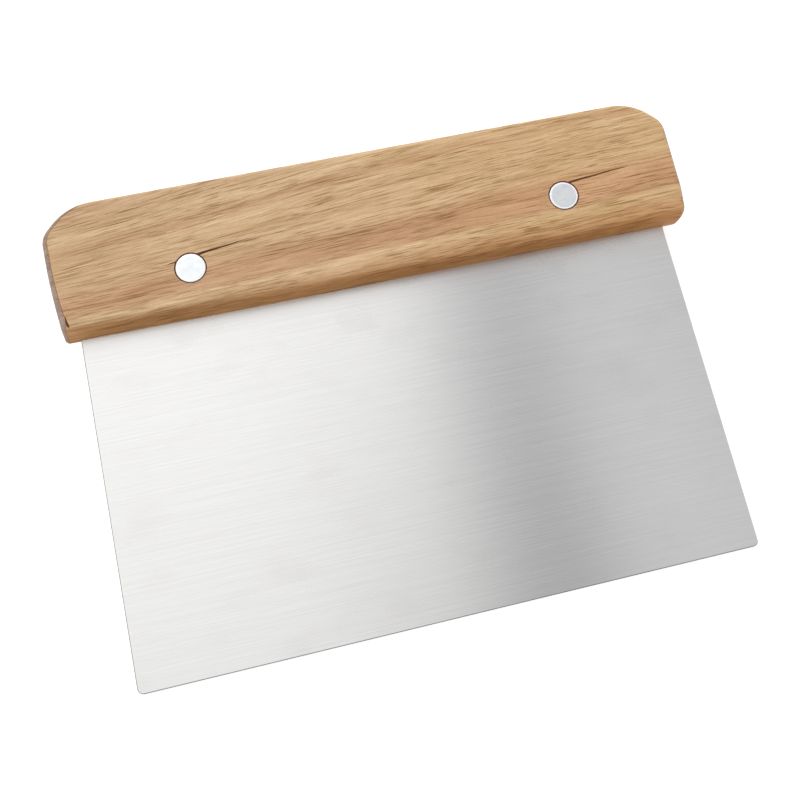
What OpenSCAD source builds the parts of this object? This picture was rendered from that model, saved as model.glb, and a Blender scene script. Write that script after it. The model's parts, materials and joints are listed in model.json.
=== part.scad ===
// Bench scraper: a stainless blade let into a saw kerf in a one-piece wooden handle
// and held by two two-part compression rivets.
// The scraper lies on its back on the bench: +X runs along the handle, +Y from the
// working edge to the handle, +Z up.  The origin is under the middle of the bounding box.

/* [Blade] */
// Width of the blade, along its working edge
blade_w = 150; // [130:1:150]
// Free height of the blade, from its working edge to the handle
blade_free_h = 84; // [60:1:110]
// Height of the blade that is let into the handle
blade_let_in = 21; // [17:0.5:25]
// Thickness of the sheet
blade_t = 1; // [0.8:0.1:1.5]
// Radius of the two free corners
blade_corner_r = 1.5; // [0.5:0.1:6]
// How far the blade sits from the middle of the handle
blade_shift = -0.8; // [-1:0.1:1]

/* [Handle] */
// Overall length of the handle, across its shoulders
handle_l = 160; // [158:1:180]
// Height of the handle, from the kerf's mouth to its top
handle_h = 33.3; // [30:0.1:40]
// Thickness of the handle
handle_t = 13; // [12:0.5:20]
// How much narrower each end is at the blade than at the shoulder
end_flare = 1.2; // [0:0.1:2]
// Leg of the clipped top corners
clip = 7.1; // [6:0.1:9]
// Blend radius between the clipped corner and the end
clip_end_r = 5.5; // [2:0.5:6]
// Blend radius between the clipped corner and the top
clip_top_r = 14; // [4:0.5:14]
// Radius of the lower left corner
low_left_r = 0.8; // [0.5:0.1:5]
// Radius of the lower right corner, which is worn rounder
low_right_r = 2; // [0.5:0.1:5]
// Radius on the long edges and on the ends
edge_r = 1.8; // [0.8:0.1:2.5]
// How far the underside rises from the kerf to each face
belly_rise = 1.3; // [0:0.1:2]

/* [Rivets] */
// Distance between the two rivets
rivet_spacing = 94.6; // [70:0.2:110]
// How far the pair of rivets sits from the middle of the handle
rivet_shift = 1.3; // [-2:0.1:2]
// Height of the rivets above the kerf's mouth
rivet_y = 11; // [9:0.5:13]
// Diameter of the heads
head_d = 7.2; // [6.5:0.1:8.5]
// Thickness of the heads
head_t = 2; // [1.5:0.1:2.5]
// Diameter of the sleeve's shank
sleeve_d = 5; // [4.5:0.1:5.5]
// Diameter of the stud's shank, a press fit in the sleeve
stud_d = 3.2; // [2.5:0.1:3.5]

/* [Fits] */
// Play of the blade in its kerf, on each side
kerf_play = 0.05; // [0.02:0.01:0.1]
// Play of the heads and shanks in their holes, all round
hole_play = 0.12; // [0.05:0.01:0.2]

/* [Hidden] */
$fn = 96;

half_l = handle_l / 2;
half_t = handle_t / 2;
kerf_y = blade_free_h;
top_y = kerf_y + handle_h;
kerf_t = blade_t + 2 * kerf_play;
rivet_line_y = kerf_y + rivet_y;
rivet_xs = [rivet_shift - rivet_spacing / 2, rivet_shift + rivet_spacing / 2];

// The sleeve stops short of the stud's head, and the stud short of the sleeve's blind end
rivet_gap = 0.5;
blind_end_t = 1;
sleeve_l = handle_t - 2 * head_t - rivet_gap;
sleeve_bore_l = sleeve_l + head_t - blind_end_t;
stud_l = sleeve_bore_l;

// The scraper rests on its working edge and on the handle's lower back edge
belly_slope = belly_rise / half_t;
rest_z = half_t - edge_r;
rest_y = kerf_y + belly_slope * rest_z + edge_r * norm([1, belly_slope]);
edge_drop = rest_z - blade_t / 2;
rest_tilt = atan2(edge_drop, rest_y) + asin(edge_r / norm([edge_drop, rest_y]));
lift = blade_t / 2 * cos(rest_tilt);
front_y = -blade_t / 2 * sin(rest_tilt);
back_y = (top_y - edge_r) * cos(rest_tilt) + rest_z * sin(rest_tilt) + edge_r;

// Half the interior angle at corner b of the path a, b, c
function half_angle(a, b, c) =
    acos((a - b) * (c - b) / (norm(a - b) * norm(c - b))) / 2;

// Point on the side from b towards a where a fillet of radius r at b begins
function tangent_point(a, b, c, r) =
    b + (a - b) / norm(a - b) * r / tan(half_angle(a, b, c));

// Centre of the fillet of radius r at corner b
function fillet_centre(a, b, c, r) =
    let (bisector = (a - b) / norm(a - b) + (c - b) / norm(c - b))
    b + bisector / norm(bisector) * r / sin(half_angle(a, b, c));

// Convex outline whose corners are rounded to the given radii
module rounded_outline(corners, radii) {
    n = len(corners);
    polygon([
        for (i = [0:n - 1])
            let (a = corners[(i + n - 1) % n], b = corners[i], c = corners[(i + 1) % n])
            each radii[i] == 0
                ? [b]
                : [tangent_point(a, b, c, radii[i]), tangent_point(c, b, a, radii[i])]
    ]);
    for (i = [0:n - 1])
        if (radii[i] > 0)
            translate(fillet_centre(
                corners[(i + n - 1) % n], corners[i], corners[(i + 1) % n], radii[i]))
                circle(radii[i]);
}

// Front outline of the handle: straight ends that flare to the shoulders, clipped top corners
module handle_outline() {
    rounded_outline(
        [
            [-half_l + end_flare, kerf_y],
            [half_l - end_flare, kerf_y],
            [half_l, top_y - clip],
            [half_l - clip, top_y],
            [-half_l + clip, top_y],
            [-half_l, top_y - clip]
        ],
        [low_left_r, low_right_r, clip_end_r, clip_top_r, clip_top_r, clip_end_r]
    );
}

// Section across the handle, drawn with its height along x and its thickness along y
module handle_section() {
    rounded_outline(
        [
            [kerf_y, 0],
            [kerf_y + belly_rise, -half_t],
            [top_y, -half_t],
            [top_y, half_t],
            [kerf_y + belly_rise, half_t]
        ],
        [0, edge_r, edge_r, edge_r, edge_r]
    );
}

// Section along the handle, drawn with its length along x and its thickness along y
module handle_plan() {
    rounded_outline(
        [[-half_l, -half_t], [half_l, -half_t], [half_l, half_t], [-half_l, half_t]],
        [edge_r, edge_r, edge_r, edge_r]
    );
}

// The wooden blank, before it is sawn and drilled
module handle_blank() {
    intersection() {
        translate([0, 0, -half_t])
            linear_extrude(handle_t)
                handle_outline();
        translate([-half_l - 1, 0, 0])
            rotate([90, 0, 90])
                linear_extrude(handle_l + 2)
                    handle_section();
        translate([0, top_y + 1, 0])
            rotate([90, 0, 0])
                linear_extrude(handle_h + 2)
                    handle_plan();
    }
}

// Stopped saw kerf that takes the blade
module kerf() {
    translate([blade_shift - blade_w / 2 - kerf_play, kerf_y - 1, -kerf_t / 2])
        cube([blade_w + 2 * kerf_play, blade_let_in + 1 + kerf_play, kerf_t]);
}

// Stepped hole through the handle for one rivet
module rivet_hole(x) {
    translate([x, rivet_line_y, 0]) {
        cylinder(h = handle_t + 2, r = sleeve_d / 2 + hole_play, center = true);
        for (side = [0, 180])
            rotate([side, 0, 0])
                translate([0, 0, half_t - head_t])
                    cylinder(h = head_t + 1, r = head_d / 2 + hole_play);
    }
}

// Sets the scraper down on its back, over the origin
module at_rest() {
    translate([0, -(front_y + back_y) / 2, lift])
        rotate([rest_tilt, 0, 0])
            children();
}

module handle() {
    color("burlywood")
        at_rest()
            difference() {
                handle_blank();
                kerf();
                for (x = rivet_xs)
                    rivet_hole(x);
            }
}

module blade() {
    color("gainsboro")
        at_rest()
            translate([0, 0, -blade_t / 2])
                linear_extrude(blade_t)
                    difference() {
                        rounded_outline(
                            [
                                [blade_shift - blade_w / 2, 0],
                                [blade_shift + blade_w / 2, 0],
                                [blade_shift + blade_w / 2, kerf_y + blade_let_in],
                                [blade_shift - blade_w / 2, kerf_y + blade_let_in]
                            ],
                            [blade_corner_r, blade_corner_r, 0, 0]
                        );
                        for (x = rivet_xs)
                            translate([x, rivet_line_y])
                                circle(sleeve_d / 2 + hole_play);
                    }
}

// Solid half of a rivet: its head is flush with the front face
module rivet_stud(x) {
    color("silver")
        at_rest()
            translate([x, rivet_line_y, half_t - head_t]) {
                cylinder(h = head_t, r = head_d / 2);
                translate([0, 0, -stud_l])
                    cylinder(h = stud_l + head_t, r = stud_d / 2);
            }
}

// Hollow half of a rivet: its head is flush with the back face
module rivet_sleeve(x) {
    color("darkgray")
        at_rest()
            translate([x, rivet_line_y, -half_t])
                difference() {
                    union() {
                        cylinder(h = head_t, r = head_d / 2);
                        cylinder(h = head_t + sleeve_l, r = sleeve_d / 2);
                    }
                    translate([0, 0, head_t + sleeve_l - sleeve_bore_l])
                        cylinder(h = sleeve_bore_l + 1, r = stud_d / 2);
                }
}

module left_rivet_stud() { rivet_stud(rivet_xs[0]); }
module left_rivet_sleeve() { rivet_sleeve(rivet_xs[0]); }
module right_rivet_stud() { rivet_stud(rivet_xs[1]); }
module right_rivet_sleeve() { rivet_sleeve(rivet_xs[1]); }

handle();
blade();
left_rivet_stud();
left_rivet_sleeve();
right_rivet_stud();
right_rivet_sleeve();
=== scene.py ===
"""Looks of the bench scraper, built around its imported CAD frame.

Meshes are built in the scraper's own frame, in metres: X along the handle, Y from the working
edge to the handle, Z up from the middle of the sheet.  OWN carries that frame onto the bench.
"""

import json
import math

import bmesh
import bpy
import numpy as np
from mathutils import Matrix, Vector


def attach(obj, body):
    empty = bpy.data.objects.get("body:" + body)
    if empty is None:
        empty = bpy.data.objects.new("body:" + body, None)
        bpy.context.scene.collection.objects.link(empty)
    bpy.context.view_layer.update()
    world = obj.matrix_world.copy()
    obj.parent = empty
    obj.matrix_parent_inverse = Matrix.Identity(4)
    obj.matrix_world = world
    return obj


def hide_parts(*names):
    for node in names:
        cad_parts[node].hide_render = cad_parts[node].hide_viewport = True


MM = 0.001
SAME_SPOT = 0.002 * MM
# How far a cutter runs on past the face that it opens
OVERCUT = 1 * MM

# Camera: the point it aims at and how far off that is, its angles in degrees, its lens in mm
AIM = Vector((-3.15, -5.40, 5.0)) * MM
AIM_DISTANCE = 194.42 * MM
AZIMUTH = 20.877
LOOK_DOWN = 74.899
ROLL = 8.107
LENS = 35.762
NEAREST_SEEN = 10 * MM
FARTHEST_SEEN = 20

# Floor, in metres; the light that it gives off itself, as a light table does
FLOOR_HALF = 3.0
FLOOR_CELLS = 6
FLOOR_GLOW = 0.65

# Handle's outline: how much narrower each end is at the blade, clipped corners, blend radii
LEFT_FLARE = 0.4 * MM
RIGHT_FLARE = 0.5 * MM
CLIP = 7.1 * MM
CLIP_END_R = 5.5 * MM
CLIP_TOP_R = 14 * MM
LOW_LEFT_R = 1.2 * MM
LOW_RIGHT_R = 2.6 * MM
HANDLE_EDGE_R = 1.8 * MM
# Width of the flat border inside a rounded edge, as a share of the edge's radius
FACE_MARGIN = 0.15
# Width of the strips that the handle's faces are built in
STRIP_W = 4.3 * MM

# Wear at the lower right corner: how far the edge rounds down the side, and how far that reaches
WORN_DROP = 5.2 * MM
WORN_ALONG = 28 * MM
WORN_UP = 8 * MM

# Left end: how far its foot leans in towards each face, and how far that reaches up and along
LEAN = 2.0 * MM
LEAN_HEIGHT = 18 * MM
LEAN_REACH = 8 * MM

# Foot of the handle: its extra height at the left end, and the share of that at the kerf
LEFT_LIFT = 1.1 * MM
LIFT_AT_KERF = 0.3
# How far it rises from the kerf to each face, and how far up the face that is felt
BELLY_RISE_FRONT = 0.8 * MM
BELLY_RISE_BACK = 2.4 * MM
BELLY_REACH = 9 * MM
# Share of the front's rise that is gone at the right end
BELLY_FADE = 0.9

# Kerf, in which the sheet is let in
KERF_PLAY = 0.05 * MM
KERF_CORNER_R = 0.1 * MM

# Growth rings, in mm: the height at which they run level, and how far they sway along it
RINGS_LEVEL_AT = 91.0
FOOT_SWAY = 2.2
FOOT_SWAY_REACH = 60
# Above it they climb to the right: how far in the end, how much of that is missing at the left
# end, the length over which that fades, and the height over which the climb sets in
CLIMB = 4.5
CLIMB_LOST_AT_LEFT = 9
CLIMB_REACH = 80
CLIMB_BAND = 14
# How far the rings shift for each millimetre through the handle
RING_SLOPE = 0.35

# Wood: overall shade, darker above 0, the tints that darken and warm its colour, and the tint of
# painted shade on its underside
WOOD_SHADE = -0.02
WOOD_TINT = (0.70, 0.63, 0.52)
WARM_TINT = (1.01, 0.98, 0.90)
UNDERSIDE_SHADE = (0.88, 0.74, 0.54)

# Blade
SHEET_CORNER_R = 1.5 * MM
SHEET_HIDDEN_R = 0.3 * MM
SHEET_EDGE_R = 0.2 * MM
# Share of the long strokes in the brushing, against the fine ones
LONG_BRUSH_SHARE = 0.62
# Units of the map that gives the brushing its direction, for each metre
MAP_PER_METRE = 10

# Rivets and their holes
HOLE_PLAY = 0.12 * MM
HEAD_PLAY = 0.18 * MM
MOUTH_FLARE = 0.15 * MM
# Depth of the flare for each millimetre that it widens the hole all round
FLARE_STEEPNESS = 2
HEAD_T = 2 * MM
HEAD_EDGE_R = 0.12 * MM
HEAD_CROWN_R = 6 * MM
# Radius of the head's flat middle
HEAD_FLAT = 2.8 * MM
SHANK_EDGE_R = 0.1 * MM
SLEEVE_D = 5 * MM
STUD_D = 3.2 * MM
BLIND_END_T = 1 * MM

# A chip torn out of the left arris, from its lower to its upper end, in mm
CHIP_START = (-76.4, 84.4)
CHIP_END = (-76.9, 89.0)
CHIP_W = 1.5 * MM
CHIP_DEPTH = 0.8 * MM
CHIP_TAPER = 0.9

# Drying splits in the front face, in mm: where they run from and to, measured from the rivet
# beside them, their width and depth where they start, and the power by which they narrow
LEFT_SPLIT = {"start": (1.8, 3.0), "end": (18.5, 4.9), "width": 0.74, "depth": 0.6, "taper": 1.3}
SHORT_SPLIT = {"start": (-3.1, 2.2), "end": (-6.6, 1.8), "width": 0.36, "depth": 0.3, "taper": 1.0}
RIGHT_SPLIT = {"start": (1.8, 3.1), "end": (18.4, 4.5), "width": 0.62, "depth": 0.42, "taper": 0.45}
SPLITS = {"left": [LEFT_SPLIT, SHORT_SPLIT], "right": [RIGHT_SPLIT]}
SPLIT_BOW = 0.1 * MM
# A split wavers from side to side by this much, through this many radians
WAVER = 0.06 * MM
WAVER_TURNS = 11
# A split's wedge stands above the face by this share of its depth, so that it opens cleanly
WEDGE_ABOVE = 0.4
# Least width of a split at its end, and the share of its length that it ends without shallowing
SPLIT_END_W = 0.03 * MM
SPLIT_END_SHARE = 0.08


# ---------------------------------------------------------------- the frame


def own_frame(frame):
    """Matrix from the scraper's own frame to the frame of the bench that it lies on."""
    mounts = frame["record"]["mounts"]
    up = Vector(next(m["axis"] for m in mounts if m["name"] == "handle_front_face"))
    along = Vector((1, 0, 0))
    turn = Matrix((along, up.cross(along), up)).transposed().to_4x4()
    back = turn.inverted()
    sheet = [back @ v.co for v in frame["nodes"]["blade"].data.vertices]
    edge_y = min(p.y for p in sheet)
    middle_z = (min(p.z for p in sheet) + max(p.z for p in sheet)) / 2
    return turn @ Matrix.Translation((0, edge_y, middle_z))


def own_box(node):
    """Lowest and highest corner of a CAD node, in the scraper's own frame."""
    back = OWN.inverted()
    points = np.array([back @ v.co for v in FRAME["nodes"][node].data.vertices])
    return Vector(points.min(0)), Vector(points.max(0))


# ---------------------------------------------------------------- mesh building


def rounded_outline(corners, radii, inset=0, arc_steps=10, run=2 * MM):
    """Points round a counter-clockwise outline with rounded corners, every side moved inwards.

    Insets leave the number of points as it is, and turn a corner sharp once its radius is used.
    Points along a straight side are about run apart.
    """
    arcs = []
    count = len(corners)
    for i, corner in enumerate(corners):
        come = (corner - corners[i - 1]).normalized()
        leave = (corners[(i + 1) % count] - corner).normalized()
        turn = math.atan2(come.x * leave.y - come.y * leave.x, come.dot(leave))
        start = math.atan2(-come.x, come.y)
        inward = Vector((-come.y, come.x))
        radius = max(radii[i] - inset, 0)
        reach = inset + radius
        centre = corner - come * reach * math.tan(turn / 2) + inward * reach
        angles = [start + turn * k / arc_steps for k in range(arc_steps + 1)]
        arcs.append([centre + Vector((math.cos(a), math.sin(a))) * radius for a in angles])
    outline = []
    for i, arc in enumerate(arcs):
        here, there = arc[-1], arcs[(i + 1) % count][0]
        steps = round((corners[(i + 1) % count] - corners[i]).length / run)
        outline += arc
        outline += [here.lerp(there, k / steps) for k in range(1, steps)]
    return outline


def plate_rings(corners, radii, half_t, edge_r, arc_steps, drop_at=None):
    """Rings of points up a plate with rounded edges, from its back face to its front face.

    The rounding takes edge_r off the faces, and off the sides too unless drop_at says how much.
    """
    turns = [math.pi / 2 * k / arc_steps for k in range(arc_steps + 1)]
    steps = [(edge_r * (1 - math.cos(a)), 1 - math.sin(a)) for a in turns]
    steps.append((edge_r * (1 + FACE_MARGIN), 0))
    drops = [drop_at(point) if drop_at else edge_r for point in rounded_outline(corners, radii)]
    rings = []
    for side in (-1, 1):
        for inset, share in steps[::side]:
            ring = zip(rounded_outline(corners, radii, inset), drops)
            rings.append([(*point, side * (half_t - drop * share)) for point, drop in ring])
    middle = [(*point, 0) for point in rounded_outline(corners, radii)]
    rings.insert(len(steps), middle)
    return rings


def lofted(name, rings):
    """Closed solid through rings of equally many points, from its back to its front."""
    mesh = bmesh.new()
    layers = [[mesh.verts.new(point) for point in ring] for ring in rings]
    for low, high in zip(layers, layers[1:]):
        for i in range(len(low)):
            j = (i + 1) % len(low)
            mesh.faces.new((low[i], low[j], high[j], high[i]))
    mesh.faces.new(list(reversed(layers[0])))
    mesh.faces.new(layers[-1])
    bmesh.ops.remove_doubles(mesh, verts=mesh.verts, dist=SAME_SPOT)
    return as_object(name, mesh)


def lathed(name, centre, profile, segments=96):
    """Solid of revolution about Z; the profile runs from the axis back to the axis."""
    mesh = bmesh.new()
    rings = []
    for radius, z in profile:
        if radius == 0:
            rings.append([mesh.verts.new((centre.x, centre.y, z))])
            continue
        angles = [2 * math.pi * k / segments for k in range(segments)]
        rings.append([
            mesh.verts.new((centre.x + radius * math.cos(a), centre.y + radius * math.sin(a), z))
            for a in angles
        ])
    for low, high in zip(rings, rings[1:]):
        for i in range(segments):
            j = (i + 1) % segments
            corners = [low[i % len(low)], low[j % len(low)]]
            corners += [high[j % len(high)], high[i % len(high)]]
            mesh.faces.new(list(dict.fromkeys(corners)))
    return as_object(name, mesh)


def as_object(name, mesh):
    """Makes a named object of a bmesh that was drawn in the scraper's own frame."""
    mesh.transform(OWN)
    bmesh.ops.recalc_face_normals(mesh, faces=mesh.faces)
    data = bpy.data.meshes.new(name)
    mesh.to_mesh(data)
    mesh.free()
    made = bpy.data.objects.new(name, data)
    bpy.context.scene.collection.objects.link(made)
    return made


def sliced(piece, spacing):
    """Cuts a piece's faces into strips across X, so that no face ends up with many holes."""
    mesh = bmesh.new()
    mesh.from_mesh(piece.data)
    xs = [vertex.co.x for vertex in mesh.verts]
    count = round((max(xs) - min(xs)) / spacing)
    for k in range(1, count):
        place = (min(xs) + k * spacing, 0, 0)
        parts = mesh.verts[:] + mesh.edges[:] + mesh.faces[:]
        bmesh.ops.bisect_plane(mesh, geom=parts, plane_co=place, plane_no=(1, 0, 0))
    mesh.to_mesh(piece.data)
    mesh.free()


def cut_away(solid, cutters):
    """Subtracts the cutters from the solid; the walls they leave keep the cutters' materials."""
    for cutter in cutters:
        modifier = solid.modifiers.new("cut", "BOOLEAN")
        modifier.operation = "DIFFERENCE"
        modifier.solver = "EXACT"
        modifier.material_mode = "TRANSFER"
        modifier.object = cutter
    bpy.context.view_layer.update()
    ready = solid.evaluated_get(bpy.context.evaluated_depsgraph_get())
    data = bpy.data.meshes.new_from_object(ready)
    solid.modifiers.clear()
    solid.data = data
    for cutter in cutters:
        bpy.data.objects.remove(cutter)


def smooth_shaded(piece, crease=32, lead=90):
    """Shades a piece smooth, with a hard edge where two faces meet at more than the crease.

    The crease is in degrees; lead is how much the larger faces count for, from 1 to 100.
    """
    mesh = bmesh.new()
    mesh.from_mesh(piece.data)
    bmesh.ops.remove_doubles(mesh, verts=mesh.verts, dist=SAME_SPOT)
    for face in mesh.faces:
        face.smooth = True
    for edge in mesh.edges:
        edge.smooth = edge.calc_face_angle(0) < math.radians(crease)
    mesh.to_mesh(piece.data)
    mesh.free()
    weights = piece.modifiers.new("large faces lead", "WEIGHTED_NORMAL")
    weights.keep_sharp = True
    weights.weight = lead


def flat_map(piece):
    """Lays a map over the piece with its U along X, so that brushing has a direction."""
    layer = piece.data.uv_layers.new(name="along_x")
    for loop in piece.data.loops:
        spot = piece.data.vertices[loop.vertex_index].co
        layer.data[loop.index].uv = (spot.x * MAP_PER_METRE, spot.y * MAP_PER_METRE)


# ---------------------------------------------------------------- node graphs


class Graph:
    """Builds a node tree from short calls, most of which return an output socket."""

    def __init__(self, tree):
        self.tree = tree
        tree.nodes.clear()

    def add(self, kind, inputs, settings=None):
        node = self.tree.nodes.new(kind)
        for name, value in (settings or {}).items():
            setattr(node, name, value)
        for name, value in inputs.items():
            if isinstance(value, bpy.types.NodeSocket):
                self.tree.links.new(value, node.inputs[name])
            else:
                node.inputs[name].default_value = value
        return node

    def math(self, operation, a, b=0.0, c=0.0):
        inputs = {0: a, 1: b, 2: c}
        return self.add("ShaderNodeMath", inputs, {"operation": operation}).outputs[0]

    def clamped(self, value, low, high, to_low=0.0, to_high=1.0):
        """Smooth step from to_low to to_high while the value goes from low to high."""
        inputs = {"Value": value, 1: low, 2: high, 3: to_low, 4: to_high}
        settings = {"interpolation_type": "SMOOTHSTEP"}
        return self.add("ShaderNodeMapRange", inputs, settings).outputs[0]

    def point(self, x, y, z):
        return self.add("ShaderNodeCombineXYZ", {0: x, 1: y, 2: z}).outputs[0]

    def apart(self, vector):
        return self.add("ShaderNodeSeparateXYZ", {0: vector}).outputs

    def own_millimetres(self):
        """Place on the scraper, in its own frame, in millimetres."""
        inputs = {
            "Vector": self.add("ShaderNodeTexCoord", {}).outputs["Object"],
            "Location": OWN.to_translation(),
            "Rotation": OWN.to_euler(),
            "Scale": (MM, MM, MM),
        }
        return self.add("ShaderNodeMapping", inputs, {"vector_type": "TEXTURE"}).outputs[0]

    def own_normal(self):
        """Direction that the surface faces, in the scraper's own frame, apart from any bump."""
        inputs = {
            "Vector": self.add("ShaderNodeTexCoord", {}).outputs["Normal"],
            "Rotation": OWN.to_euler(),
        }
        return self.add("ShaderNodeMapping", inputs, {"vector_type": "TEXTURE"}).outputs[0]

    def noise(self, vector, detail, roughness):
        inputs = {"Vector": vector, "Scale": 1.0, "Detail": detail, "Roughness": roughness}
        return self.add("ShaderNodeTexNoise", inputs).outputs[0]

    def streaks(self, x, y, z, length, width, depth, detail=2.0, roughness=0.5):
        """Noise whose blotches are length by width by depth millimetres."""
        vector = self.point(
            self.math("DIVIDE", x, length),
            self.math("DIVIDE", y, width),
            self.math("DIVIDE", z, depth),
        )
        return self.noise(vector, detail, roughness)

    def ramp(self, value, stops):
        """Colour that runs straight from stop to stop; a stop is a place and its colour."""
        node = self.add("ShaderNodeValToRGB", {0: value})
        elements = node.color_ramp.elements
        while len(elements) < len(stops):
            elements.new(0.5)
        for element, (position, colour) in zip(elements, stops):
            element.position = position
            element.color = (*colour, 1)
        return node.outputs[0]

    def mix(self, amount, a, b, blend="MIX"):
        settings = {"data_type": "RGBA", "blend_type": blend}
        return self.add("ShaderNodeMix", {0: amount, 6: a, 7: b}, settings).outputs[2]

    def bump(self, height, depth):
        inputs = {"Height": height, "Distance": depth, "Strength": 1.0}
        return self.add("ShaderNodeBump", inputs).outputs[0]

    def surface(self, inputs):
        shader = self.add("ShaderNodeBsdfPrincipled", inputs)
        self.add("ShaderNodeOutputMaterial", {"Surface": shader.outputs[0]})


def srgb(red, green, blue):
    """Linear colour of an 8-bit screen colour."""
    def linear(level):
        share = level / 255
        return share / 12.92 if share <= 0.04045 else ((share + 0.055) / 1.055) ** 2.4
    return (linear(red), linear(green), linear(blue))


def opaque(colour):
    return (*colour, 1)


def grey(level, blue=0.0):
    """Linear grey, with a little more blue in it."""
    return (level, level, level + blue)


def new_material(name):
    material = bpy.data.materials.new(name)
    material.use_nodes = True
    return material, Graph(material.node_tree)


# ---------------------------------------------------------------- materials


def grain(graph):
    """Grain coordinates in millimetres: x along, r across the growth rings, z through.

    The rings run level along the handle's foot and climb to the right above it.
    """
    x, y, z = graph.apart(graph.own_millimetres())
    foot = graph.math("TANH", graph.math("DIVIDE", x, FOOT_SWAY_REACH))
    foot = graph.math("MULTIPLY", foot, FOOT_SWAY)
    above = graph.math("SUBTRACT", graph.math("SUBTRACT", y, RINGS_LEVEL_AT), foot)
    left_end = graph.math("DIVIDE", graph.math("ADD", x, CLIMB_REACH), -CLIMB_REACH)
    climb = graph.math("MULTIPLY", graph.math("EXPONENT", left_end), CLIMB_LOST_AT_LEFT)
    climb = graph.math("SUBTRACT", CLIMB, climb)
    share = graph.clamped(above, 0, CLIMB_BAND)
    r = graph.math("SUBTRACT", above, graph.math("MULTIPLY", climb, share))
    sway = graph.streaks(x, r, z, 34, 7, 16, detail=1.0)
    r = graph.math("ADD", r, graph.math("MULTIPLY", graph.math("SUBTRACT", sway, 0.5), 2.0))
    below_face = graph.math("SUBTRACT", z, HALF_T / MM)
    r = graph.math("MULTIPLY_ADD", below_face, RING_SLOPE, r)
    return x, r, z


def tinted(graph, colour, tint, amount):
    """Colour times tint to the power of amount: 1 darkens by the tint, -1 lightens by it."""
    inputs = {0: tint, 1: graph.point(amount, amount, amount)}
    power = graph.add("ShaderNodeVectorMath", inputs, {"operation": "POWER"}).outputs[0]
    return graph.mix(1.0, colour, power, "MULTIPLY")


def centred(graph, value, gain):
    """A noise value moved from about 0.5 to about 0 and scaled."""
    return graph.math("MULTIPLY", graph.math("SUBTRACT", value, 0.5), gain)


def ring_bands(graph, r):
    """Colour of the growth rings from the underside's brown up to the handle's top."""
    low, high = -12, 36
    # The place r of each band, in millimetres, and its colour
    bands = [
        (-9.0, srgb(188, 144, 100)),
        (-6.0, srgb(190, 148, 106)),
        (-4.8, srgb(190, 150, 110)),
        (-2.8, srgb(204, 171, 131)),
        (-1.6, srgb(207, 175, 135)),
        (-0.4, srgb(194, 155, 118)),
        (1.6, srgb(190, 148, 112)),
        (4.8, srgb(192, 152, 115)),
        (7.6, srgb(203, 170, 131)),
        (12.0, srgb(201, 167, 128)),
        (16.5, srgb(204, 171, 131)),
        (19.0, srgb(194, 157, 119)),
        (22.0, srgb(206, 174, 134)),
        (28.0, srgb(196, 161, 124)),
    ]
    stops = [((place - low) / (high - low), colour) for place, colour in bands]
    return graph.ramp(graph.math("DIVIDE", graph.math("SUBTRACT", r, low), high - low), stops)


def end_grain(graph, y, z):
    """Sawn ends of the fibres: fine dots between the ends of the growth rings."""
    pore = 0.3
    place = graph.point(0, graph.math("DIVIDE", y, pore), graph.math("DIVIDE", z, pore))
    dots = graph.noise(place, detail=3.0, roughness=0.6)
    rings = graph.streaks(y, y, z, 40, 1.1, 6)
    both = graph.math("ADD", graph.math("MULTIPLY", dots, 0.5), graph.math("MULTIPLY", rings, 0.5))
    return graph.ramp(both, [(0.35, srgb(122, 102, 90)), (0.65, srgb(172, 150, 134))])


def shade_arris_and_end_grain(graph, colour):
    """Paints shade on the underside and along the right end's edge, darkens a line along the left
    arris, and opens the end grain.

    Each sets in between two limits of the surface's unit normal, in the scraper's own frame.
    """
    facing = graph.apart(graph.own_normal())
    # Painted shade: the downward-facing underside is darkened and browned by a tint
    under_shade = graph.clamped(graph.math("MULTIPLY", facing[1], -1), 0.45, 0.95)
    colour = tinted(graph, colour, UNDERSIDE_SHADE, under_shade)
    leftward = graph.math("MULTIPLY", facing[0], -1)
    left_end = graph.clamped(leftward, 0.20, 0.30)
    arris = graph.math("SUBTRACT", graph.clamped(leftward, 0.08, 0.16), left_end)
    colour = graph.mix(graph.math("MULTIPLY", arris, 0.75), colour, opaque(srgb(120, 78, 44)))
    # Painted shade: a dark brown line along the right end's edge, which turns away from the light
    right_edge_shade = graph.math("MULTIPLY", graph.clamped(facing[0], 0.62, 0.80), 0.8)
    right_edge_shade = graph.math("MULTIPLY", graph.clamped(facing[1], -0.40, -0.10), right_edge_shade)
    colour = graph.mix(right_edge_shade, colour, opaque(srgb(116, 84, 60)))
    ends = graph.math("ADD", left_end, graph.clamped(facing[0], 0.9, 0.97))
    _, height, depth = graph.apart(graph.own_millimetres())
    return graph.mix(ends, colour, end_grain(graph, height, depth))


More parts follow.
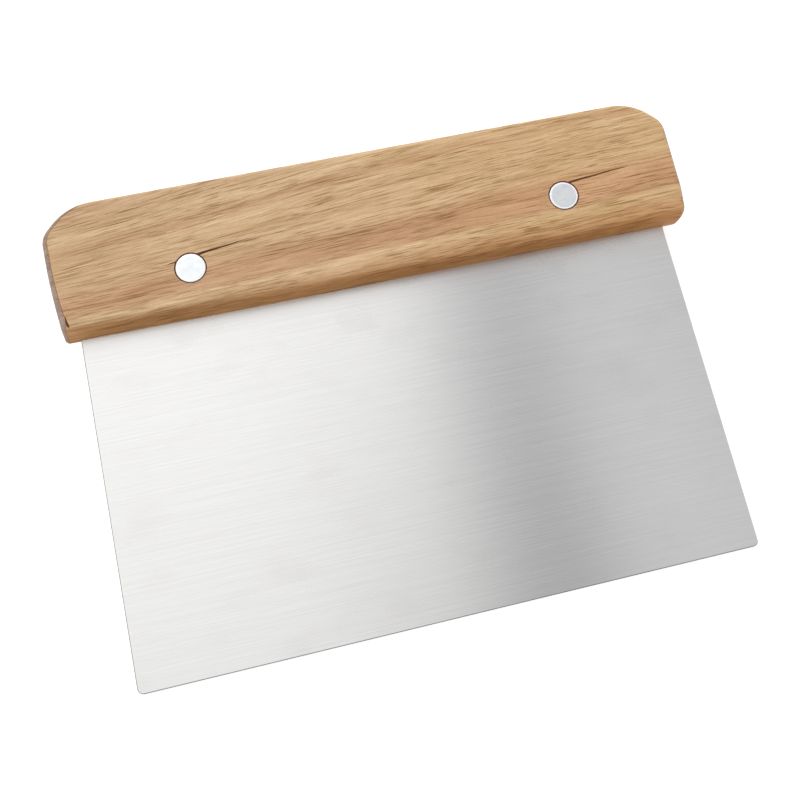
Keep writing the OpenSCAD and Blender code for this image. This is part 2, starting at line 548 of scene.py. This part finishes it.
def oak():
    """Close-grained light hardwood, sanded and oiled, with painted shade on its underside and open
    end grain.
    """
    material, graph = new_material("oiled_wood")
    x, r, z = grain(graph)
    # Bands, streaks, fibres and specks of the grain, dark lines, and pores that crowd in places
    broad = graph.streaks(x, r, z, 40, 3.0, 8)
    streak = graph.streaks(x, r, z, 17, 0.8, 2.4, detail=3.0, roughness=0.6)
    fibre = graph.streaks(x, r, z, 7, 0.31, 0.9, detail=3.0, roughness=0.8)
    speck = graph.streaks(x, r, z, 0.4, 0.25, 0.3, detail=1.0)
    line = graph.clamped(graph.streaks(x, r, z, 15, 0.36, 1.2, detail=1.5), 0.56, 0.68)
    crowd = graph.clamped(graph.streaks(x, r, z, 26, 3.2, 9, detail=1.0), 0.30, 0.60)
    dash = graph.clamped(graph.streaks(x, r, z, 7, 0.26, 0.5, detail=1.0), 0.57, 0.66)
    dash = graph.math("MULTIPLY", dash, crowd)
    shade = centred(graph, broad, 1.4)
    shade = graph.math("ADD", shade, centred(graph, streak, 0.75))
    shade = graph.math("ADD", shade, centred(graph, fibre, 2.5))
    shade = graph.math("ADD", shade, centred(graph, speck, 0.5))
    shade = graph.math("MULTIPLY_ADD", line, 0.95, shade)
    shade = graph.math("MULTIPLY_ADD", dash, 1.2, shade)
    shade = graph.math("ADD", shade, WOOD_SHADE)
    colour = tinted(graph, ring_bands(graph, r), WOOD_TINT, shade)
    colour = tinted(graph, colour, WARM_TINT, graph.clamped(x, -40, 60))
    colour = shade_arris_and_end_grain(graph, colour)
    relief = graph.math("ADD", graph.math("MULTIPLY", fibre, 0.5), graph.math("MULTIPLY", line, -0.3))
    relief = graph.math("SUBTRACT", relief, graph.math("MULTIPLY", dash, 0.8))
    graph.surface({
        "Base Color": colour,
        "Roughness": graph.math("ADD", graph.math("MULTIPLY", fibre, 0.2), 0.5),
        "IOR": 1.45,
        "Specular IOR Level": 0.3,
        "Normal": graph.bump(relief, 0.05 * MM),
    })
    return material


def torn_wood():
    """Raw fibres inside the kerf, the bores, the splits and the chip."""
    material, graph = new_material("torn_wood")
    x, y, z = graph.apart(graph.own_millimetres())
    fibre = graph.streaks(x, y, z, 2.5, 0.2, 0.2, detail=3.0, roughness=0.6)
    colour = graph.ramp(fibre, [(0.3, srgb(104, 64, 38)), (0.7, srgb(150, 98, 62))])
    graph.surface({
        "Base Color": colour,
        "Roughness": 0.85,
        "Normal": graph.bump(fibre, 0.08 * MM),
    })
    return material


def brushed_steel():
    """Stainless sheet, brushed along X, with faint finger smudges and a painted dark reflection on
    its left and working edges.
    """
    material, graph = new_material("brushed_steel")
    x, y, z = graph.apart(graph.own_millimetres())
    long_brush = graph.streaks(x, y, z, 30, 0.25, 1, detail=3.0, roughness=0.65)
    fine_brush = graph.streaks(x, y, z, 7, 0.09, 1, roughness=0.6)
    smudge = graph.clamped(graph.streaks(x, y, z, 16, 11, 9), 0.50, 0.80)
    brush = graph.math("MULTIPLY", long_brush, LONG_BRUSH_SHARE)
    brush = graph.math("MULTIPLY_ADD", fine_brush, 1 - LONG_BRUSH_SHARE, brush)
    colour = graph.ramp(brush, [(0.3, srgb(212, 211, 210)), (0.7, srgb(223, 223, 222))])
    colour = graph.mix(graph.math("MULTIPLY", smudge, 0.08), colour, opaque(srgb(180, 172, 165)))
    # Painted reflection: a dark grey line on the rounded edges that face left and towards the working
    # edge, which are a little rougher as well
    facing = graph.apart(graph.own_normal())
    leftward = graph.math("MULTIPLY", facing[0], -1)
    outward = graph.math("MAXIMUM", leftward, graph.math("MULTIPLY", facing[1], -1))
    painted_dark_edge = graph.clamped(outward, 0.10, 0.25)
    colour = graph.mix(painted_dark_edge, colour, opaque(srgb(108, 106, 103)))
    roughness = graph.math("ADD", graph.math("MULTIPLY", brush, 0.08), 0.22)
    roughness = graph.math("ADD", roughness, graph.math("MULTIPLY", smudge, 0.04))
    tangent = graph.add("ShaderNodeTangent", {}, {"direction_type": "UV_MAP", "uv_map": "along_x"})
    graph.surface({
        "Base Color": colour,
        "Metallic": 1.0,
        "Roughness": graph.math("ADD", roughness, graph.math("MULTIPLY", painted_dark_edge, 0.2)),
        "Anisotropic": 0.9,
        "Anisotropic Rotation": 0.25,
        "Tangent": tangent.outputs[0],
        "Normal": graph.bump(brush, 0.003 * MM),
    })
    return material


def sanded_aluminium():
    """Rivet heads dressed flush with the wood: sanding marks, a dull bloom, and a rougher rim with a
    painted highlight.
    """
    material, graph = new_material("sanded_aluminium")
    x, y, z = graph.apart(graph.own_millimetres())
    scratch = graph.streaks(x, y, z, 3, 0.08, 0.5, detail=3.0, roughness=0.6)
    bloom = graph.streaks(x, y, z, 2.2, 1.6, 2, detail=3.0, roughness=0.6)
    colour = graph.ramp(bloom, [(0.35, srgb(214, 218, 222)), (0.65, srgb(227, 229, 230))])
    facing = graph.apart(graph.own_normal())
    # A painted highlight on the rim, where the crown leans by 3 to 5 degrees and more
    rim = graph.clamped(graph.math("ABSOLUTE", facing[2]), 0.9965, 0.9990, 1.0, 0.0)
    colour = graph.mix(rim, colour, opaque(srgb(246, 246, 246)))
    height = graph.math("ADD", graph.math("MULTIPLY", scratch, 0.5), bloom)
    roughness = graph.math("ADD", graph.math("MULTIPLY", scratch, 0.2), 0.25)
    graph.surface({
        "Base Color": colour,
        "Metallic": 1.0,
        "Roughness": graph.math("MULTIPLY_ADD", rim, 0.35, roughness),
        "Normal": graph.bump(height, 0.006 * MM),
    })
    return material


def floor_paper():
    """Pale matt studio floor with a trace of mottle."""
    material, graph = new_material("floor_paper")
    x, y, z = graph.apart(graph.own_millimetres())
    mottle = graph.streaks(x, y, z, 3, 3, 3, detail=3.0, roughness=0.6)
    graph.surface({
        "Base Color": graph.ramp(mottle, [(0.3, grey(0.56)), (0.7, grey(0.60))]),
        "Roughness": 0.9,
        "Emission Color": (1, 1, 1, 1),
        "Emission Strength": FLOOR_GLOW,
    })
    return material


# ---------------------------------------------------------------- pieces


def handle_corners(low, high):
    """Corners of the handle's outline from the lower left, with the radius of each."""
    corners = [
        Vector((low.x + LEFT_FLARE, low.y)),
        Vector((high.x - RIGHT_FLARE, low.y)),
        Vector((high.x, high.y - CLIP)),
        Vector((high.x - CLIP, high.y)),
        Vector((low.x + CLIP, high.y)),
        Vector((low.x, high.y - CLIP)),
    ]
    return corners, [LOW_LEFT_R, LOW_RIGHT_R, CLIP_END_R, CLIP_TOP_R, CLIP_TOP_R, CLIP_END_R]


def kerf_cutter(mouth_y):
    """The stopped saw kerf: the let-in sheet and its play, open at the mouth."""
    low, high = own_box("blade")
    corners = [
        Vector((low.x - KERF_PLAY, mouth_y - OVERCUT)),
        Vector((high.x + KERF_PLAY, mouth_y - OVERCUT)),
        Vector((high.x + KERF_PLAY, high.y + KERF_PLAY)),
        Vector((low.x - KERF_PLAY, high.y + KERF_PLAY)),
    ]
    outline = rounded_outline(corners, [KERF_CORNER_R] * 4, arc_steps=2, run=20 * MM)
    half_t = high.z + KERF_PLAY
    return lofted("kerf", [[(*point, z) for point in outline] for z in (-half_t, half_t)])


def bore_cutter(name, centre, half_t):
    """The stepped hole for one rivet, with a little play all round and a flared mouth.

    No ring of the cutter lies in the handle's faces, where a boolean could not tell its side.
    """
    low, high = own_box(name)
    head_r = (high.x - low.x) / 2 + HEAD_PLAY
    shank_r = SLEEVE_D / 2 + HOLE_PLAY
    step = half_t - HEAD_T
    above = half_t + OVERCUT
    foot = half_t - MOUTH_FLARE * FLARE_STEEPNESS
    profile = [(0, -above), (head_r + (above - foot) / FLARE_STEEPNESS, -above)]
    profile += [(head_r, -foot), (head_r, -step), (shank_r, -step)]
    return lathed("bore", centre, profile + [(r, -z) for r, z in reversed(profile)])


def split_cutter(path, width, depth, taper, face_z):
    """A drying split: a thin wedge along the path that narrows and shallows to nothing."""
    mesh = bmesh.new()
    ribs = []
    for i, spot in enumerate(path):
        ahead = path[min(i + 1, len(path) - 1)] - path[max(i - 1, 0)]
        side = Vector((-ahead.y, ahead.x)).normalized()
        left = 1 - i / (len(path) - 1)
        half = max(width * left ** taper, SPLIT_END_W) / 2
        drop = depth * max(left, SPLIT_END_SHARE) ** 0.5
        shoulder = side * half * (1 + WEDGE_ABOVE)
        ribs.append([
            mesh.verts.new((*(spot + shoulder), face_z + drop * WEDGE_ABOVE)),
            mesh.verts.new((*(spot - shoulder), face_z + drop * WEDGE_ABOVE)),
            mesh.verts.new((*spot, face_z - drop)),
        ])
    for near, far in zip(ribs, ribs[1:]):
        for i in range(3):
            j = (i + 1) % 3
            mesh.faces.new((near[i], near[j], far[j], far[i]))
    mesh.faces.new(ribs[0])
    mesh.faces.new(list(reversed(ribs[-1])))
    return as_object("split", mesh)


def wandering(start, end, bow, steps=14):
    """Points from start to end along a line that bows and wavers a little."""
    across = end - start
    side = Vector((-across.y, across.x)).normalized()
    points = []
    for k in range(steps + 1):
        t = k / steps
        waver = WAVER * math.sin(WAVER_TURNS * t) * math.sin(math.pi * t)
        points.append(start.lerp(end, t) + side * (bow * math.sin(math.pi * t) + waver))
    return points


def build_handle():
    """The shaped bar with its kerf, its two rivet holes, its splits and its chip."""
    low, high = own_box("handle")
    corners, radii = handle_corners(low, high)

    def edge_drop(point):
        """How far the edge rounds down the side: furthest at the worn lower right corner."""
        away = point - corners[1]
        near = max(0, 1 - math.hypot(away.x / WORN_ALONG, away.y / WORN_UP))
        worn = near * near * (3 - 2 * near)
        return HANDLE_EDGE_R + (WORN_DROP - HANDLE_EDGE_R) * worn

    def hand_shaped(point):
        """Raises the foot from the kerf towards each face, and leans the left end's foot in."""
        x, y, z = point
        depth = abs(z) / high.z
        foot = max(0, 1 - (y - low.y) / BELLY_REACH)
        front_rise = BELLY_RISE_FRONT * (1 - BELLY_FADE * max(0, x / high.x))
        belly = front_rise if z > 0 else BELLY_RISE_BACK
        share = LIFT_AT_KERF + (1 - LIFT_AT_KERF) * depth
        lift = LEFT_LIFT * share * max(0, x / low.x) ** 2
        rise = belly * depth + lift
        low_down = max(0, 1 - (y - low.y) / LEAN_HEIGHT) ** 1.5
        at_end = max(0, 1 - (x - low.x) / LEAN_REACH)
        return (x + LEAN * low_down * at_end * depth ** 2, y + rise * foot, z)

    rings = plate_rings(corners, radii, high.z, HANDLE_EDGE_R, arc_steps=9, drop_at=edge_drop)
    handle = lofted("wooden_handle", [[hand_shaped(point) for point in ring] for ring in rings])
    sliced(handle, STRIP_W)
    handle.data.materials.append(oak())
    torn = torn_wood()
    cutters = [kerf_cutter(low.y)]
    for side in ("left", "right"):
        centre = rivet_centre(side)
        cutters.append(bore_cutter(side + "_rivet_stud", centre, high.z))
        for split in SPLITS[side]:
            start = centre + Vector(split["start"]) * MM
            end = centre + Vector(split["end"]) * MM
            path = wandering(start, end, SPLIT_BOW)
            size = (split["width"] * MM, split["depth"] * MM, split["taper"])
            cutters.append(split_cutter(path, *size, high.z))
    chip = wandering(Vector(CHIP_START) * MM, Vector(CHIP_END) * MM, bow=0)
    cutters.append(split_cutter(chip, CHIP_W, CHIP_DEPTH, CHIP_TAPER, high.z))
    for cutter in cutters:
        cutter.data.materials.append(torn)
    cut_away(handle, cutters)
    smooth_shaded(handle)
    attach(handle, "root")
    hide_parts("handle")


def rivet_centre(side):
    """Middle of a rivet's head, along and up the handle."""
    low, high = own_box(side + "_rivet_stud")
    return Vector(((low.x + high.x) / 2, (low.y + high.y) / 2))


def build_blade():
    """The flat sheet with its two rivet holes."""
    low, high = own_box("blade")
    corners = [
        Vector((low.x, low.y)),
        Vector((high.x, low.y)),
        Vector((high.x, high.y)),
        Vector((low.x, high.y)),
    ]
    radii = [SHEET_CORNER_R, SHEET_CORNER_R, SHEET_HIDDEN_R, SHEET_HIDDEN_R]
    rings = plate_rings(corners, radii, high.z, SHEET_EDGE_R, arc_steps=4)
    blade = lofted("steel_blade", rings)
    blade.data.materials.append(brushed_steel())
    radius = SLEEVE_D / 2 + HOLE_PLAY
    above = high.z + OVERCUT
    profile = [(0, -above), (radius, -above), (radius, above), (0, above)]
    holes = []
    for side in ("left", "right"):
        hole = lathed("hole", rivet_centre(side), profile)
        hole.data.materials.append(blade.data.materials[0])
        holes.append(hole)
    cut_away(blade, holes)
    smooth_shaded(blade)
    flat_map(blade)
    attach(blade, "root")
    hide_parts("blade")


def rounded_end(radius, z, edge_r, outward, steps=6):
    """Profile points from an end face round its outer edge, at the given radius and height."""
    turns = [math.pi / 2 * k / steps for k in range(steps + 1)]
    return [
        (radius - edge_r * (1 - math.sin(a)), z + outward * edge_r * (math.cos(a) - 1))
        for a in turns
    ]


def crowned_end(radius, z, outward, steps=5):
    """Profile points of a dressed rivet head: flat middle, sanded crown, rounded edge.

    The edge's first two points are left out, because they lie on the crown's rim or beside it.
    """
    reach = radius - HEAD_EDGE_R - HEAD_FLAT
    turns = [math.asin(reach / HEAD_CROWN_R) * k / steps for k in range(steps + 1)]
    crown = [
        (HEAD_FLAT + HEAD_CROWN_R * math.sin(a), z - outward * HEAD_CROWN_R * (1 - math.cos(a)))
        for a in turns
    ]
    drop = outward * HEAD_CROWN_R * (1 - math.cos(turns[-1]))
    edge = rounded_end(radius, z - drop, HEAD_EDGE_R, outward)
    return [(0, z)] + crown + edge[2:]


def build_rivet(side, metal):
    """The solid stud from the front and the hollow sleeve from the back, pressed together."""
    centre = rivet_centre(side)
    low, high = own_box(side + "_rivet_stud")
    head_r = (high.x - low.x) / 2
    seat = high.z - HEAD_T
    profile = [(0, low.z)]
    profile += rounded_end(STUD_D / 2, low.z, SHANK_EDGE_R, -1)
    profile += [(STUD_D / 2, seat), (head_r, seat)]
    profile += list(reversed(crowned_end(head_r, high.z, 1)))
    stud = lathed(side + "_rivet_stud_turned", centre, profile)

    low, high = own_box(side + "_rivet_sleeve")
    seat = low.z + HEAD_T
    profile = crowned_end(head_r, low.z, -1)
    profile += [(head_r, seat), (SLEEVE_D / 2, seat)]
    profile += list(reversed(rounded_end(SLEEVE_D / 2, high.z, SHANK_EDGE_R, 1)))
    profile += [(STUD_D / 2, high.z), (STUD_D / 2, low.z + BLIND_END_T), (0, low.z + BLIND_END_T)]
    sleeve = lathed(side + "_rivet_sleeve_turned", centre, profile)

    for piece, node in ((stud, side + "_rivet_stud"), (sleeve, side + "_rivet_sleeve")):
        piece.data.materials.append(metal)
        smooth_shaded(piece)
        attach(piece, "root")
        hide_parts(node)


# ---------------------------------------------------------------- studio


def build_camera():
    """Looks down over the working edge, a little from the left, slightly rolled."""
    azimuth = math.radians(AZIMUTH)
    down = math.radians(LOOK_DOWN)
    level = math.cos(down)
    forward = Vector((level * math.sin(azimuth), level * math.cos(azimuth), -math.sin(down)))
    across = forward.cross(Vector((0, 0, 1))).normalized()
    roll = math.radians(ROLL)
    right = across * math.cos(roll) + across.cross(forward) * math.sin(roll)
    up = right.cross(forward)
    camera = bpy.data.objects.new("camera", bpy.data.cameras.new("camera"))
    camera.data.lens = LENS
    camera.data.clip_start = NEAREST_SEEN
    camera.data.clip_end = FARTHEST_SEEN
    turn = Matrix((right, up, -forward)).transposed().to_4x4()
    camera.matrix_world = Matrix.Translation(AIM - forward * AIM_DISTANCE) @ turn
    bpy.context.scene.collection.objects.link(camera)
    bpy.context.scene.camera = camera


def build_floor():
    """Square sheet of paper that the scraper lies on."""
    mesh = bmesh.new()
    cells = {"x_segments": FLOOR_CELLS, "y_segments": FLOOR_CELLS}
    bmesh.ops.create_grid(mesh, size=FLOOR_HALF, **cells)
    data = bpy.data.meshes.new("floor")
    mesh.to_mesh(data)
    mesh.free()
    floor = bpy.data.objects.new("floor", data)
    bpy.context.scene.collection.objects.link(floor)
    floor.data.materials.append(floor_paper())


def build_light():
    """Soft light tent: bright overhead and behind the handle, dimmer over the working edge.

    A dark panel stands to the right, which the blade mirrors as a soft grey stripe.
    """
    world = bpy.data.worlds.new("light_tent")
    world.use_nodes = True
    bpy.context.scene.world = world
    graph = Graph(world.node_tree)
    x, y, _ = graph.apart(graph.add("ShaderNodeTexCoord", {}).outputs["Generated"])
    rightward = graph.math("MULTIPLY_ADD", x, 0.5, 0.5)
    backward = graph.math("MULTIPLY_ADD", y, 0.5, 0.5)
    tone = graph.ramp(rightward, [
        (0.000, grey(1.35)),
        (0.370, grey(1.29)),
        (0.440, grey(1.27)),
        (0.477, grey(1.22)),
        (0.515, grey(1.13)),
        (0.550, grey(1.10)),
        (0.580, grey(0.83, 0.01)),
        (0.605, grey(0.58, 0.01)),
        (0.628, grey(0.52, 0.01)),
        (0.652, grey(0.815, 0.01)),
        (0.695, grey(0.88, 0.01)),
        (0.720, grey(0.75, 0.01)),
        (0.800, grey(0.85)),
        (1.000, grey(1.40)),
    ])
    fall = graph.ramp(backward, [
        (0.05, grey(0.55)),
        (0.22, grey(0.50)),
        (0.36, grey(0.84)),
        (0.43, grey(0.95)),
        (0.52, grey(1.00)),
        (0.66, grey(1.12)),
        (0.85, grey(1.50)),
        (1.00, grey(1.50)),
    ])
    # How much the tone gains from front to back, across the tent: 0.5 is an even tone
    lean = graph.ramp(rightward, [
        (0.37, grey(0.45)),
        (0.48, grey(0.475)),
        (0.515, grey(0.54)),
        (0.55, grey(0.56)),
        (0.58, grey(0.62)),
        (0.605, grey(0.575)),
        (0.63, grey(0.565)),
        (0.655, grey(0.38)),
        (0.69, grey(0.33)),
        (0.72, grey(0.285)),
        (1.00, grey(0.50)),
    ])
    lean = graph.math("SUBTRACT", lean, 0.5)
    front_to_back = graph.clamped(y, -0.16, 0.26, -1.0, 1.0)
    fall = graph.math("MULTIPLY", fall, graph.math("MULTIPLY_ADD", lean, front_to_back, 1.0))
    background = graph.add("ShaderNodeBackground", {"Color": tone, "Strength": fall})
    graph.add("ShaderNodeOutputWorld", {"Surface": background.outputs[0]})


def main():
    build_camera()
    build_handle()
    build_blade()
    metal = sanded_aluminium()
    for side in ("left", "right"):
        build_rivet(side, metal)
    build_floor()
    build_light()
    bpy.context.scene.view_settings.view_transform = "Standard"


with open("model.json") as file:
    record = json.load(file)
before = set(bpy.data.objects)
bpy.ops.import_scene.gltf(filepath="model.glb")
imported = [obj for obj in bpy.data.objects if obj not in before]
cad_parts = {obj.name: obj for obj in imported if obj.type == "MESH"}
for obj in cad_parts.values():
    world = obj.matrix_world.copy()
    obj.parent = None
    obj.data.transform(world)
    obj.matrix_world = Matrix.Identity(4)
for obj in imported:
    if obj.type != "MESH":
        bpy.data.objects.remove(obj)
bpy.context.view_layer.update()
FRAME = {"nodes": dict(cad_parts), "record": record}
OWN = own_frame(FRAME)
HALF_T = own_box("handle")[1].z
main()
